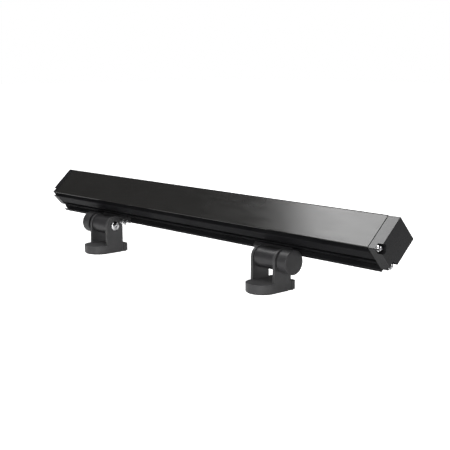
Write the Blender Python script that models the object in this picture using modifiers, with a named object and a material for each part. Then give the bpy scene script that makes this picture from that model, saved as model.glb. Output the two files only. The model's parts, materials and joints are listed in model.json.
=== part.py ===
"""LED strip batten on two tilting feet that clamp to its rail.

Units are metres, +Z is up and the floor is Z = 0. The bar runs along X, and the feet stand under its
front edge (-Y). The bar's section is drawn in two coordinates: u runs down the window from its top
edge, and v runs from the window into the body. The window is tilted, so both are slanted in Y and Z.
"""

import math

import bmesh
import bpy
from mathutils import Matrix, Vector

MM = 0.001
GAP = 0.3 * MM

# Bar
HALF_LENGTH = 500 * MM
TILT = math.radians(42)
CAP_WIDTH = 75.4 * MM
CAP_CHAMFER = 1.2 * MM
BODY_DEPTH = 59 * MM
WALL = 2.4 * MM
RAIL_REACH = 77 * MM
FIN_DEPTH = 64 * MM
RAIL_LEFT = -484 * MM
RAIL_RIGHT = 474 * MM
WINDOW_WIDTH = 73.4 * MM
WINDOW_THICKNESS = 2.5 * MM
LEDGE = 3.9 * MM
CAVITY_WIDTH = 60.6 * MM
SEAL_THICKNESS = 1 * MM

# Screw channels and T-slot, as places along v. The bottom channel is undercut for the clamps' nuts,
# and the T-slot stays open for other fittings.
CHANNEL_TOP = (5.4 * MM, 9.8 * MM)
CHANNEL_BOTTOM = (52.4 * MM, 57 * MM)
UNDERCUT = 48.2 * MM
UNDERCUT_FLOOR = 64 * MM
UNDERCUT_LIP = 67.9 * MM
SLOT_MOUTH = (33 * MM, 43 * MM)
SLOT_ROOM = (29 * MM, 47 * MM)
SLOT_FLOOR = 63.2 * MM
SLOT_LIP = 71.3 * MM

# End screws
SCREW_U = 67.5 * MM
SCREW_HEAD_RADIUS = 6.5 * MM
COUNTERBORE_RADIUS = 9.2 * MM
END_SCREWS = {"upper": sum(CHANNEL_TOP) / 2, "lower": sum(CHANNEL_BOTTOM) / 2}

# Feet
FOOT_X = {"left": -297 * MM, "right": 230 * MM}
PIVOT_U = 101.5 * MM
PIVOT_V = 52.4 * MM
PIVOT_HEIGHT = 61.9 * MM
BASE_TOP = 19 * MM
PAD_THICKNESS = 2 * MM
BASE_HALF_WIDTH = 32.1 * MM
BASE_FRONT = 22.5 * MM
BASE_REAR = 37.5 * MM
CHEEK_RADIUS = 22 * MM
CHEEK_INSIDE = 26.5 * MM
BARREL_RADIUS = 20.5 * MM
BARREL_HALF = 24.9 * MM
BOLT_RADIUS = 5 * MM
BOLT_HEAD_RADIUS = 10.5 * MM
KNOB_RADIUS = 23.6 * MM
KNOB_LENGTH = 22.9 * MM
KNOB_START = 38.1 * MM

# Rail clamps. Places along X are from the foot's middle, with the knob's side positive.
PLATE_REACH = (36 * MM, -62 * MM)
PLATE_TOP = 49.6 * MM
PLATE_BOTTOM = 56.5 * MM
PLATE_FACE = 77.6 * MM
BOSS_REACH = (-33.8 * MM, -62 * MM)
BOSS_DEPTH = (50 * MM, 61 * MM)
BOSS_FACE = 80.6 * MM
CLAMP_SCREWS = (-39 * MM, -53 * MM)
CLAMP_SHANK_RADIUS = 1.95 * MM
CLAMP_HEAD_RADIUS = 4.2 * MM
CLAMP_HEAD_LENGTH = 8.4 * MM

BLACK = ("anodised_black", (0.012, 0.012, 0.013), 0.45, 0.4)
GLASS = ("smoked_window", (0.01, 0.01, 0.01), 0.07, 0.0)
CAST = ("charcoal_cast", (0.05, 0.05, 0.052), 0.55, 0.1)
KNOB = ("charcoal_knob", (0.045, 0.045, 0.047), 0.5, 0.0)
CHROME = ("bright_steel", (0.8, 0.8, 0.82), 0.12, 1.0)
STEEL = ("zinc_steel", (0.45, 0.45, 0.46), 0.35, 1.0)
BRASS = ("brass", (0.6, 0.42, 0.15), 0.3, 1.0)
RUBBER = ("black_rubber", (0.015, 0.015, 0.015), 0.85, 0.0)
BOARD = ("circuit_board", (0.02, 0.1, 0.05), 0.5, 0.0)
LED_BOARD = ("led_board", (0.75, 0.75, 0.72), 0.5, 0.0)
CLEAR = ("clear_lens", (0.8, 0.82, 0.85), 0.1, 0.0)
ALUMINIUM = ("plain_aluminium", (0.6, 0.6, 0.62), 0.4, 1.0)
NYLON = ("nylon", (0.02, 0.02, 0.02), 0.6, 0.0)


def clear_scene():
    for obj in list(bpy.data.objects):
        bpy.data.objects.remove(obj)
    parts = bpy.data.collections.new("led_strip_batten")
    tools = bpy.data.collections.new("cutters")
    for collection in (parts, tools):
        bpy.context.scene.collection.children.link(collection)
    return parts, tools


PARTS, TOOLS = clear_scene()


def material(finish):
    name, colour, roughness, metallic = finish
    found = bpy.data.materials.get(name)
    if found:
        return found
    made = bpy.data.materials.new(name)
    made.use_nodes = True
    shader = made.node_tree.nodes["Principled BSDF"]
    shader.inputs["Base Color"].default_value = (*colour, 1)
    shader.inputs["Roughness"].default_value = roughness
    shader.inputs["Metallic"].default_value = metallic
    return made


# Directions and frames. A frame's columns are the drawing's two axes and its extrusion direction.

X = Vector((1, 0, 0))
Y = Vector((0, 1, 0))
Z = Vector((0, 0, 1))
U = Vector((0, -math.cos(TILT), -math.sin(TILT)))
V = Vector((0, math.sin(TILT), -math.cos(TILT)))

# The foot's round front and the right end cap's back corner are the object's two sides in Y, so the
# top edge goes where Y = 0 is half way between them.
FRONT_REACH = PIVOT_U * U.y + PIVOT_V * V.y - BASE_FRONT - BASE_HALF_WIDTH
REAR_REACH = (BODY_DEPTH - CAP_CHAMFER) * V.y
TOP_EDGE = Vector((0, -(FRONT_REACH + REAR_REACH) / 2, PIVOT_HEIGHT))
TOP_EDGE -= Z * (PIVOT_U * U.z + PIVOT_V * V.z)
PIVOT = TOP_EDGE + PIVOT_U * U + PIVOT_V * V


def frame(first, second, origin):
    axes = Matrix((first, second, first.cross(second))).transposed().to_4x4()
    return Matrix.Translation(origin) @ axes


SECTION = frame(U, V, TOP_EDGE)
DECK = frame(X, U, TOP_EDGE)


def on_section(x, u, v):
    return TOP_EDGE + x * X + u * U + v * V


def foot_origin(side):
    return PIVOT + FOOT_X[side] * X


def outward(side):
    """-1 on the left foot and 1 on the right one: the knob's side."""
    return -1 if side == "left" else 1


def span(side, near, far):
    """Low and high X, from the foot's middle, of a stretch given towards the knob."""
    return sorted((near * outward(side), far * outward(side)))


def facing(direction, origin):
    """A frame whose third axis is the direction."""
    return Matrix.Translation(origin) @ direction.to_track_quat("Z", "Y").to_matrix().to_4x4()


def arc(centre, radius, start, end, steps):
    angles = [math.radians(start + (end - start) * i / steps) for i in range(steps + 1)]
    return [(centre[0] + radius * math.cos(a), centre[1] + radius * math.sin(a)) for a in angles]


def box_outline(low_a, low_b, high_a, high_b):
    return [(low_a, low_b), (high_a, low_b), (high_a, high_b), (low_a, high_b)]


# Shapes


def place(name, mesh, matrix, finish, collection):
    obj = bpy.data.objects.new(name, mesh)
    obj.matrix_world = matrix
    mesh.materials.clear()
    if finish:
        mesh.materials.append(material(finish))
    collection.objects.link(obj)
    return obj


def prism(name, loops, low, high, matrix, finish=None, collection=None, smooth=40):
    """A flat outline, with any holes, extruded from low to high along the frame's third axis."""
    curve = bpy.data.curves.new(name, "CURVE")
    curve.dimensions = "2D"
    curve.fill_mode = "BOTH"
    curve.extrude = (high - low) / 2
    for loop in loops:
        spline = curve.splines.new("POLY")
        spline.points.add(len(loop) - 1)
        for point, (a, b) in zip(spline.points, loop):
            point.co = (a, b, 0, 1)
        spline.use_cyclic_u = True
    drawn = bpy.data.objects.new(name, curve)
    TOOLS.objects.link(drawn)
    graph = bpy.context.evaluated_depsgraph_get()
    mesh = bpy.data.meshes.new_from_object(drawn.evaluated_get(graph))
    bpy.data.objects.remove(drawn)
    bpy.data.curves.remove(curve)
    shape = bmesh.new()
    shape.from_mesh(mesh)
    bmesh.ops.translate(shape, verts=shape.verts, vec=(0, 0, (low + high) / 2))
    bmesh.ops.remove_doubles(shape, verts=shape.verts, dist=1e-6)
    bmesh.ops.recalc_face_normals(shape, faces=shape.faces)
    shape.to_mesh(mesh)
    shape.free()
    mesh.name = name
    mesh.shade_smooth()
    mesh.set_sharp_from_angle(angle=math.radians(smooth))
    return place(name, mesh, matrix, finish, collection or PARTS)


def turned(name, profile, matrix, finish=None, collection=None, closed=False, steps=20):
    """A profile of (radius, height), outer side down, turned round the frame's third axis."""
    mesh = bpy.data.meshes.new(name)
    count = len(profile)
    links = [(i, i + 1) for i in range(count - 1)] + ([(count - 1, 0)] if closed else [])
    mesh.from_pydata([(r, 0, h) for r, h in profile], links, [])
    obj = place(name, mesh, matrix, finish, collection or PARTS)
    screw = obj.modifiers.new("turn", "SCREW")
    screw.axis = "Z"
    screw.steps = screw.render_steps = steps
    screw.use_merge_vertices = True
    screw.merge_threshold = 1e-5
    screw.use_smooth_shade = True
    return obj


def ring(name, inner, outer, low, high, matrix, finish):
    profile = [(inner, high), (outer, high), (outer, low), (inner, low)]
    return turned(name, profile, matrix, finish, closed=True)


def cylinder(name, radius, low, high, matrix, steps=24):
    return turned(name, [(0, high), (radius, high), (radius, low), (0, low)], matrix,
                  collection=TOOLS, steps=steps)


def combine(target, operation, tools):
    """Boolean the tools into the target, which keeps the modifiers, and hide them as cutters."""
    for tool in tools:
        boolean = target.modifiers.new(tool.name, "BOOLEAN")
        boolean.operation = operation
        boolean.solver = "EXACT"
        boolean.object = tool
        tool.hide_render = True
        tool.display_type = "WIRE"
    return target


def round_edges(obj, width, segments=2, angle=40):
    bevel = obj.modifiers.new("round", "BEVEL")
    bevel.width = width
    bevel.segments = segments
    bevel.limit_method = "ANGLE"
    bevel.angle_limit = math.radians(angle)
    return obj


def hex_socket(name, across, low, high, matrix):
    radius = across / math.sqrt(3)
    corners = arc((0, 0), radius, 0, 300, 5)
    return prism(name, [corners], low, high, matrix, collection=TOOLS)


# Bar: housing, window and end caps


def housing_outline():
    """The extrusion's section, from the top edge round the inside and back along the outside."""
    c1, c2 = CHANNEL_TOP, CHANNEL_BOTTOM
    inside = BODY_DEPTH - WALL
    ledge_back = LEDGE + 2 * MM
    lip = 1.2 * MM
    return [
        (0, 0), (lip, 0), (lip, LEDGE), (8 * MM, LEDGE), (8 * MM, ledge_back),
        (WALL, ledge_back), (WALL, inside), (CAVITY_WIDTH, inside), (CAVITY_WIDTH, ledge_back),
        (55 * MM, ledge_back), (55 * MM, LEDGE), (70.2 * MM, LEDGE), (70.2 * MM, c1[0]),
        (63 * MM, c1[0]), (63 * MM, c1[1]), (76.2 * MM, c1[1]), (RAIL_REACH, 10.6 * MM),
        (RAIL_REACH, 12.6 * MM), (75.4 * MM, 14.4 * MM), (74.6 * MM, SLOT_MOUTH[0]),
        (SLOT_LIP, SLOT_MOUTH[0]), (SLOT_LIP, SLOT_ROOM[0]), (SLOT_FLOOR, SLOT_ROOM[0]),
        (SLOT_FLOOR, SLOT_ROOM[1]), (SLOT_LIP, SLOT_ROOM[1]), (SLOT_LIP, SLOT_MOUTH[1]),
        (73 * MM, SLOT_MOUTH[1]), (70.6 * MM, c2[0]), (UNDERCUT_LIP, c2[0]),
        (UNDERCUT_LIP, UNDERCUT), (UNDERCUT_FLOOR, UNDERCUT), (UNDERCUT_FLOOR, c2[1]),
        (RAIL_REACH, c2[1]), (RAIL_REACH, FIN_DEPTH), (69 * MM, FIN_DEPTH),
        (64 * MM, BODY_DEPTH), (1.5 * MM, BODY_DEPTH), (0, BODY_DEPTH - 1.5 * MM),
    ]


SOCKET_X = {
    "power_inlet": -454 * MM, "power_outlet": -418 * MM, "data_inlet": -382 * MM,
    "data_outlet": -346 * MM,
}
SOCKET_U = 34 * MM
VENT_X = 430 * MM


def housing():
    lightening = box_outline(65.4 * MM, 12.2 * MM, 72.4 * MM, 26.6 * MM)
    body = prism("housing_extrusion", [housing_outline(), lightening], RAIL_LEFT, RAIL_RIGHT,
                 SECTION, BLACK)
    holes = [
        cylinder(f"hole_{name}", 12.3 * MM, -5 * MM, 5 * MM,
                 facing(V, on_section(x, SOCKET_U, BODY_DEPTH)))
        for name, x in SOCKET_X.items()
    ]
    holes.append(cylinder("hole_vent", 5.3 * MM, -5 * MM, 5 * MM,
                          facing(V, on_section(VENT_X, SOCKET_U, BODY_DEPTH))))
    combine(body, "DIFFERENCE", holes)


def window():
    low, high = RAIL_LEFT + GAP, RAIL_RIGHT - GAP
    pane = prism("front_window", [box_outline(low, 1.5 * MM, high, WINDOW_WIDTH)], 0,
                 WINDOW_THICKNESS, DECK, GLASS)
    round_edges(pane, 0.5 * MM)
    outer = box_outline(low, 1.5 * MM, high, 69.9 * MM)
    inner = box_outline(low + 8 * MM, 7.7 * MM, high - 8 * MM, 55.3 * MM)
    prism("window_seal", [outer, inner], WINDOW_THICKNESS + GAP, LEDGE - GAP, DECK, RUBBER)


def spigot_outline(grow=0.0):
    """The plug on each end cap that fills the end of the housing's cavity."""
    low, high = WALL + GAP - grow, CAVITY_WIDTH - GAP + grow
    shoulder = LEDGE + 2 * MM + GAP - grow
    back = BODY_DEPTH - WALL - GAP + grow
    left, right = 8 * MM + GAP - grow, 55 * MM - GAP + grow
    draft = 0.4 * MM
    return [
        (low, shoulder + draft), (left, shoulder), (left, LEDGE - grow), (right, LEDGE - grow),
        (right, shoulder), (high, shoulder + draft), (high, back), (low, back),
    ]


def plain_cap_outline():
    cut = CAP_CHAMFER
    return [
        (0, cut), (cut, 0), (CAP_WIDTH - cut, 0), (CAP_WIDTH, cut),
        (CAP_WIDTH, BODY_DEPTH - cut), (CAP_WIDTH - cut, BODY_DEPTH), (cut, BODY_DEPTH),
        (0, BODY_DEPTH - cut),
    ]


def railed_cap_outline():
    """The left cap carries the housing's lip and fin on to its end."""
    return [
        (0, 0), (WINDOW_WIDTH, 0), (WINDOW_WIDTH, WINDOW_THICKNESS), (68 * MM, 5 * MM),
        (68 * MM, CHANNEL_TOP[1]), (76.2 * MM, CHANNEL_TOP[1]), (RAIL_REACH, 10.6 * MM),
        (RAIL_REACH, 12.6 * MM), (75.2 * MM, 14.4 * MM), (74.8 * MM, 40 * MM), (70.6 * MM, 52 * MM),
        (70 * MM, CHANNEL_BOTTOM[1]), (RAIL_REACH, CHANNEL_BOTTOM[1]), (RAIL_REACH, FIN_DEPTH),
        (69 * MM, FIN_DEPTH), (64 * MM, BODY_DEPTH), (1.5 * MM, BODY_DEPTH),
        (0, BODY_DEPTH - 1.5 * MM),
    ]


CAPS = {
    "left": (RAIL_LEFT, railed_cap_outline, 8 * MM, 20 * MM),
    "right": (RAIL_RIGHT, plain_cap_outline, 10 * MM, 28 * MM),
}


def end_cap(side):
    rail_end, outline, counterbore, shank = CAPS[side]
    way = outward(side)
    inner = rail_end + way * (SEAL_THICKNESS + 2 * GAP)
    outer = way * HALF_LENGTH
    floor = outer - way * counterbore
    cap = prism(f"end_cap_{side}", [outline()], min(inner, outer), max(inner, outer), SECTION,
                BLACK)
    plug_end = rail_end - way * 10 * MM
    plug = prism(f"spigot_{side}", [spigot_outline()], min(plug_end, inner + way * MM),
                 max(plug_end, inner + way * MM), SECTION, collection=TOOLS)
    combine(cap, "UNION", [plug])
    for name, v in END_SCREWS.items():
        axis = facing(X * way, on_section(floor, SCREW_U, v))
        combine(cap, "DIFFERENCE", [
            cylinder(f"bore_{side}_{name}", COUNTERBORE_RADIUS, 0, 2 * counterbore, axis),
            cylinder(f"way_{side}_{name}", 2.2 * MM, -40 * MM, MM, axis, 12),
        ])
        end_screw(f"end_screw_{side}_{name}", axis, shank)
    seal_low = rail_end + way * GAP
    seal_high = seal_low + way * SEAL_THICKNESS
    loops = [box_outline(MM, MM, 73.6 * MM, BODY_DEPTH - MM), spigot_outline(GAP)]
    loops += [arc((SCREW_U, v), 2.5 * MM, 0, 330, 11) for v in END_SCREWS.values()]
    prism(f"end_seal_{side}", loops, min(seal_low, seal_high), max(seal_low, seal_high), SECTION,
          RUBBER)


def end_screw(name, axis, shank):
    """Domed cap screw with a hex socket; its head stands on the counterbore's floor."""
    head, radius = 6 * MM, SCREW_HEAD_RADIUS
    lift = axis @ Matrix.Translation((0, 0, GAP))
    profile = [(0, head)]
    profile += [(radius * math.sin(math.radians(a)), 2 * MM + 4 * MM * math.cos(math.radians(a)))
                for a in (35, 65, 90)]
    profile += [(radius, 0), (1.8 * MM, 0), (1.8 * MM, -shank), (0, -shank)]
    screw = turned(name, profile, lift, CHROME, steps=16)
    combine(screw, "DIFFERENCE",
            [hex_socket(f"{name}_socket", 4 * MM, head - 2.5 * MM, head + MM, lift)])


# Bar: inside


LED_PITCH = 18.5 * MM
LEDS_PER_BOARD = 12
BOARD_LENGTH = 222 * MM
BOARD_STARTS = [-454 * MM + i * (BOARD_LENGTH + 3 * MM) for i in range(4)]
CARRIER_TOP = 27.5 * MM


def carrier():
    """Aluminium tray that holds the LED boards and spreads their heat to the housing."""
    low, high, edge = 3 * MM, 60 * MM, 2 * MM
    outline = [
        (low, 22 * MM), (low + edge, 22 * MM), (low + edge, CARRIER_TOP),
        (high - edge, CARRIER_TOP), (high - edge, 22 * MM), (high, 22 * MM), (high, 30 * MM),
        (low, 30 * MM),
    ]
    tray = prism("led_carrier", [outline], -460 * MM, 450 * MM, SECTION, ALUMINIUM)
    notch = box_outline(-10 * MM, 8 * MM, 10 * MM, 16 * MM)
    combine(tray, "DIFFERENCE",
            [prism("lead_notch", [notch], 20 * MM, 35 * MM, DECK, collection=TOOLS)])


def led_board(index):
    """White board with its row of LEDs, which stand out of it towards the window."""
    start = BOARD_STARTS[index]
    plate = box_outline(start, 20 * MM, start + BOARD_LENGTH, 44 * MM)
    board = prism(f"led_board_{index + 1}", [plate], 25.6 * MM, CARRIER_TOP - GAP, DECK, LED_BOARD)
    for i in range(LEDS_PER_BOARD):
        x = start + 9.25 * MM + i * LED_PITCH
        led = box_outline(x - 2 * MM, 30 * MM, x + 2 * MM, 34 * MM)
        combine(board, "UNION", [prism(f"led_{index + 1}_{i + 1}", [led], 24.4 * MM, 26 * MM, DECK,
                                       collection=TOOLS)])


def lens_strip(index):
    """Linear lens over one board: a flat back and a crowned front, with a groove over the LEDs."""
    start = BOARD_STARTS[index]
    back, shoulder = 25.3 * MM, 16 * MM
    outline = [
        (22 * MM, back), (22 * MM, shoulder), *arc((32 * MM, shoulder + 2 * MM), 9 * MM, 200, 340, 10),
        (42 * MM, shoulder), (42 * MM, back), (36 * MM, back), (36 * MM, 22 * MM),
        (28 * MM, 22 * MM), (28 * MM, back),
    ]
    prism(f"lens_strip_{index + 1}", [outline], start + MM, start + BOARD_LENGTH - MM, SECTION,
          CLEAR)


def driver():
    low, high = -318 * MM, -110 * MM
    case = prism("led_driver", [box_outline(low, 9 * MM, high, 51 * MM)], 34 * MM, 54 * MM, DECK,
                 ALUMINIUM)
    round_edges(case, 2 * MM)


def control_board():
    board = prism("control_board", [box_outline(-60 * MM, 10 * MM, 110 * MM, 52 * MM)], 36 * MM,
                  37.6 * MM, DECK, BOARD)
    pieces = {
        "processor": (-20, 22, 0, 42, 40), "terminal": (70, 16, 95, 46, 46),
        "regulator": (-50, 20, -35, 44, 48),
    }
    for name, (x0, u0, x1, u1, v1) in pieces.items():
        chip = box_outline(x0 * MM, u0 * MM, x1 * MM, u1 * MM)
        combine(board, "UNION",
                [prism(name, [chip], 37 * MM, v1 * MM, DECK, collection=TOOLS)])


def lead(name, route, radius):
    """Insulated wire along points given as x, u, v in millimetres."""
    curve = bpy.data.curves.new(name, "CURVE")
    curve.dimensions = "3D"
    curve.bevel_depth = radius
    curve.bevel_resolution = 2
    curve.use_fill_caps = True
    spline = curve.splines.new("POLY")
    spline.points.add(len(route) - 1)
    for point, (x, u, v) in zip(spline.points, route):
        point.co = (*on_section(x * MM, u * MM, v * MM), 1)
    obj = bpy.data.objects.new(name, curve)
    curve.materials.append(material(RUBBER))
    PARTS.objects.link(obj)


def bend(start, end, steps=8):
    """Points of a wire that leaves both ends along x and swings over smoothly between them."""
    points = []
    for i in range(steps + 1):
        t = i / steps
        swing = t * t * (3 - 2 * t)
        points.append((start[0] + (end[0] - start[0]) * t,
                       start[1] + (end[1] - start[1]) * swing,
                       start[2] + (end[2] - start[2]) * swing))
    return points


def leads():
    lead("power_lead", bend((-404, 16, 44), (-318.6, 20, 46)), 2 * MM)
    lead("led_lead", [(-58, 12.5, 34.2), (-30, 12.5, 34.2), (-8, 12.5, 33.8), (-2, 12.5, 32.5),
                      (0, 12.5, 30), (0.6, 13, 27.4), (1.4, 14.4, 25.4), (2, 16.6, 24.4),
                      (2.2, 18.6, 24.4)], 1 * MM)


def socket(name, pins):
    """Round chassis socket in the housing's lower rear wall, with its contact pins."""
    x = SOCKET_X[name]
    mouth = 2.5 * MM + GAP
    recess = 11 * MM
    axis = facing(V, on_section(x, SOCKET_U, BODY_DEPTH))
    profile = [
        (0, mouth - recess), (8.5 * MM, mouth - recess), (8.5 * MM, mouth), (14 * MM, mouth),
        (15 * MM, mouth - MM), (15 * MM, GAP), (12 * MM, GAP), (12 * MM, -16 * MM), (0, -16 * MM),
    ]
    body = turned(name, profile, axis, NYLON)
    for i in range(pins):
        turn = Matrix.Rotation(math.tau * i / pins, 4, "Z") @ Matrix.Translation((5 * MM, 0, 0))
        combine(body, "UNION", [cylinder(f"{name}_pin_{i + 1}", 0.8 * MM, mouth - recess - MM,
                                         mouth - 6.5 * MM, axis @ turn, 6)])


def vent():
    """Screwed-in breather that evens the pressure inside the sealed bar."""
    axis = facing(V, on_section(VENT_X, SOCKET_U, BODY_DEPTH))
    profile = [
        (0, 2.4 * MM), (5.5 * MM, 2.4 * MM), (8 * MM, 1.4 * MM), (8 * MM, GAP), (5 * MM, GAP),
        (5 * MM, -6 * MM), (0, -6 * MM),
    ]
    turned("pressure_vent", profile, axis, NYLON, steps=14)


# Feet: rail clamp, fork, pivot and knob


def arm(side):
    """Clamp plate on the rail with the barrel that the fork swings on."""
    origin = foot_origin(side)
    local = frame(U, V, TOP_EDGE + FOOT_X[side] * X)
    clear = 0.35 * MM
    plate_outline = [
        (71.4 * MM + clear, PLATE_TOP), (70.8 * MM + clear, CHANNEL_BOTTOM[0]),
        (70.8 * MM + clear, PLATE_BOTTOM), (PLATE_FACE, PLATE_BOTTOM), (PLATE_FACE, PLATE_TOP),
    ]
    plate = prism(f"clamp_arm_{side}", [plate_outline], *span(side, *PLATE_REACH), local, CAST)
    boss_outline = box_outline(RAIL_REACH + clear, BOSS_DEPTH[0], BOSS_FACE, BOSS_DEPTH[1])
    boss = prism(f"boss_{side}", [boss_outline], *span(side, *BOSS_REACH), local, collection=TOOLS)
    web_outline = [
        (76 * MM, 50.4 * MM), (86 * MM, 42 * MM), (PIVOT_U, 42 * MM), (PIVOT_U, 62 * MM),
        (90 * MM, 61 * MM), (76 * MM, 56 * MM),
    ]
    web = prism(f"web_{side}", [web_outline], -BARREL_HALF + 0.5 * MM, BARREL_HALF - 0.5 * MM,
                local, collection=TOOLS)
    axle = facing(X, origin)
    barrel = cylinder(f"barrel_{side}", BARREL_RADIUS, -BARREL_HALF, BARREL_HALF, axle, 36)
    combine(plate, "UNION", [web, barrel, boss])
    combine(plate, "DIFFERENCE",
            [cylinder(f"barrel_bore_{side}", BOLT_RADIUS + 0.4 * MM, -40 * MM, 40 * MM, axle, 20)])
    for i, place_x in enumerate(CLAMP_SCREWS, 1):
        seat = facing(U, clamp_seat(side, place_x))
        combine(plate, "DIFFERENCE",
                [cylinder(f"clamp_hole_{side}_{i}", CLAMP_SHANK_RADIUS + clear, -20 * MM, 20 * MM,
                          seat, 12)])
        clamp_screw(f"clamp_screw_{side}_{i}", seat)
    nut(side)


def clamp_seat(side, place_x):
    """Middle of a clamp screw's seat on the boss."""
    v = sum(CHANNEL_BOTTOM) / 2
    return on_section(FOOT_X[side] + place_x * outward(side), BOSS_FACE, v)


def clamp_screw(name, seat):
    lift = seat @ Matrix.Translation((0, 0, GAP))
    head, radius, shank = CLAMP_HEAD_LENGTH, CLAMP_HEAD_RADIUS, CLAMP_SHANK_RADIUS
    length = BOSS_FACE - UNDERCUT_FLOOR - 1.5 * MM
    profile = [
        (0, head), (radius - 0.8 * MM, head), (radius, head - 0.8 * MM), (radius, 0), (shank, 0),
        (shank, -length), (0, -length),
    ]
    screw = turned(name, profile, lift, CHROME, steps=14)
    combine(screw, "DIFFERENCE",
            [hex_socket(f"{name}_socket", 4 * MM, head - 3.5 * MM, head + MM, lift)])


def nut(side):
    """Sliding nut inside the undercut channel that both clamp screws pull on."""
    clear = 0.4 * MM
    outline = box_outline(UNDERCUT_FLOOR + clear, UNDERCUT + clear, UNDERCUT_LIP - clear,
                          CHANNEL_BOTTOM[1] - clear)
    local = frame(U, V, TOP_EDGE + FOOT_X[side] * X)
    bar = prism(f"slot_nut_{side}", [outline], *span(side, -34 * MM, -58 * MM), local, STEEL)
    holes = [
        cylinder(f"nut_thread_{side}_{i}", CLAMP_SHANK_RADIUS + GAP, -30 * MM, 10 * MM,
                 facing(U, clamp_seat(side, x)), 12)
        for i, x in enumerate(CLAMP_SCREWS, 1)
    ]
    combine(bar, "DIFFERENCE", holes)


def base_outline(inset=0.0):
    """Plan of a foot about its pivot: round front, straight sides and two round rear corners."""
    half = BASE_HALF_WIDTH - inset
    corner = 6.5 * MM
    corner_x, corner_y = BASE_HALF_WIDTH - corner, BASE_REAR - corner
    right = arc((corner_x, corner_y), corner - inset, -20, 100, 5)
    left = [(-x, y) for x, y in reversed(right)]
    sides_end = 24 * MM - inset
    notch = 2.6 * MM
    return [
        *arc((0, -BASE_FRONT), half, 180, 360, 18), (half, sides_end - notch),
        (half - notch, sides_end), *right, *left, (-half + notch, sides_end),
        (-half, sides_end - notch),
    ]


def cheek_outline():
    bottom = BASE_TOP - PIVOT_HEIGHT - 2 * MM
    return [*arc((0, 0), CHEEK_RADIUS, 0, 180, 16), (-CHEEK_RADIUS, bottom), (CHEEK_RADIUS, bottom)]


def foot(side):
    """Cast foot: a flat base with two upright cheeks that form a fork round the barrel."""
    origin = foot_origin(side)
    low, high = PAD_THICKNESS + GAP - PIVOT_HEIGHT, BASE_TOP - PIVOT_HEIGHT
    plan = frame(X, Y, origin)
    body = prism(f"foot_{side}", [base_outline()], low, high, plan, CAST)
    round_edges(body, 1.6 * MM, 1)
    upright = frame(Y, Z, origin)
    cheeks = []
    for name, way in (("a", 1), ("b", -1)):
        stretch = sorted((way * CHEEK_INSIDE, way * (BASE_HALF_WIDTH + 0.2 * MM)))
        cheek = prism(f"cheek_{side}_{name}", [cheek_outline()], *stretch, upright,
                      collection=TOOLS)
        cheeks.append(round_edges(cheek, 0.8 * MM, 1))
    combine(body, "UNION", cheeks)
    axle = facing(X * outward(side), origin)
    recess = -CHEEK_INSIDE - 4 * MM
    combine(body, "DIFFERENCE", [
        cylinder(f"fork_bore_{side}", BOLT_RADIUS + 0.4 * MM, -40 * MM, 40 * MM, axle, 20),
        cylinder(f"head_recess_{side}", 12.3 * MM, -40 * MM, recess, axle),
    ])
    prism(f"rubber_pad_{side}", [base_outline(3 * MM)], -PIVOT_HEIGHT, PAD_THICKNESS - PIVOT_HEIGHT,
          plan, RUBBER)
    pivot_bolt(side, axle, recess)
    for i, way in enumerate((-1, 1), 1):
        low, high = sorted((way * (BARREL_HALF + GAP), way * (CHEEK_INSIDE - GAP)))
        ring(f"friction_washer_{side}_{i}", BOLT_RADIUS + 0.4 * MM, 19 * MM, low, high, axle, NYLON)
    ring(f"knob_spacer_{side}", BOLT_RADIUS + 0.4 * MM, 11 * MM,
         BASE_HALF_WIDTH + 0.5 * MM, KNOB_START - GAP, axle, STEEL)


def pivot_bolt(side, axle, recess):
    """Domed bolt through the fork, with its head on the side away from the knob."""
    back = axle @ Matrix.Translation((0, 0, recess - GAP)) @ Matrix.Rotation(math.pi, 4, "X")
    radius, rise = BOLT_HEAD_RADIUS, 5 * MM
    shank = 50 * MM - (recess - GAP)
    profile = [(0, 2 * MM + rise)]
    profile += [(radius * math.sin(math.radians(a)), 2 * MM + rise * math.cos(math.radians(a)))
                for a in (35, 65, 90)]
    profile += [(radius, 0), (BOLT_RADIUS, 0), (BOLT_RADIUS, -shank), (0, -shank)]
    bolt = turned(f"pivot_bolt_{side}", profile, back, CHROME)
    combine(bolt, "DIFFERENCE", [hex_socket(f"bolt_socket_{side}", 6 * MM, 3.5 * MM, 9 * MM, back)])


def knob(side):
    """Clamping knob, hollow at its back, with a brass threaded insert on the bolt."""
    axle = facing(X * outward(side), foot_origin(side) + X * outward(side) * KNOB_START)
    profile = [
        (0, KNOB_LENGTH), (KNOB_RADIUS - 1.2 * MM, KNOB_LENGTH),
        (KNOB_RADIUS, KNOB_LENGTH - 1.2 * MM), (KNOB_RADIUS, 0.8 * MM),
        (KNOB_RADIUS - 0.8 * MM, 0), (20.5 * MM, 0), (20.5 * MM, 14 * MM), (12 * MM, 14 * MM),
        (12 * MM, 0), (9.3 * MM, 0), (9.3 * MM, 10.5 * MM), (5.4 * MM, 10.5 * MM),
        (5.4 * MM, 14 * MM), (0, 14 * MM),
    ]
    turned(f"knob_{side}", profile, axle, KNOB, steps=32)
    ring(f"knob_insert_{side}", BOLT_RADIUS + GAP, 9 * MM, GAP, 10.2 * MM, axle, BRASS)


def build():
    housing()
    window()
    for side in FOOT_X:
        end_cap(side)
    carrier()
    for index in range(len(BOARD_STARTS)):
        led_board(index)
        lens_strip(index)
    driver()
    control_board()
    leads()
    for name, pins in (("power_inlet", 3), ("power_outlet", 3), ("data_inlet", 5), ("data_outlet", 5)):
        socket(name, pins)
    vent()
    for side in FOOT_X:
        arm(side)
        foot(side)
        knob(side)


build()
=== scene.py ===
"""Looks of the led strip batten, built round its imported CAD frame.

The bar's section is drawn in u (down the window from its top edge) and v (from the window into the
body), as in the CAD. Finely rounded pieces replace the CAD nodes that show; the rest keep their meshes.
"""

import json
import math

import bmesh
import bpy
from mathutils import Matrix, Vector


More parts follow.
